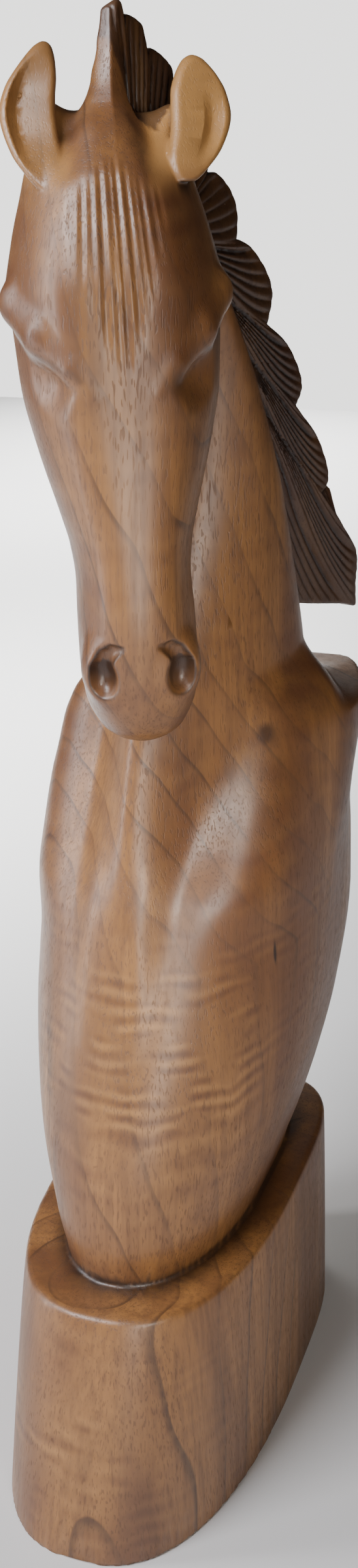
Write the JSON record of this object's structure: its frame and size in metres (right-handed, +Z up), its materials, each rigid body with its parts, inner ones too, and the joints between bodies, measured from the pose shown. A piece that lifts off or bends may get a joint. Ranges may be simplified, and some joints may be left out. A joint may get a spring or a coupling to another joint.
{
  "type": "carved wooden horse head",
  "caption": "Horse head, neck and chest with a scalloped mane, carved with its oval base from one block of satin-finished brown hardwood; a standing ornament.",
  "frame": {"origin": "centre of the base's flat underside", "axes": "+Z up; the chest and base face -Y; +X is the horse's left, the side the head and the mane turn to"},
  "size_m": [0.106, 0.216, 0.4977],
  "materials": {
    "satin_hardwood": "satin lacquer over brown hardwood with dark growth lines, open pores and a curly figure"
  },
  "bodies": {
    "root": {"horse_bust": "satin_hardwood"}
  },
  "joints": []
}
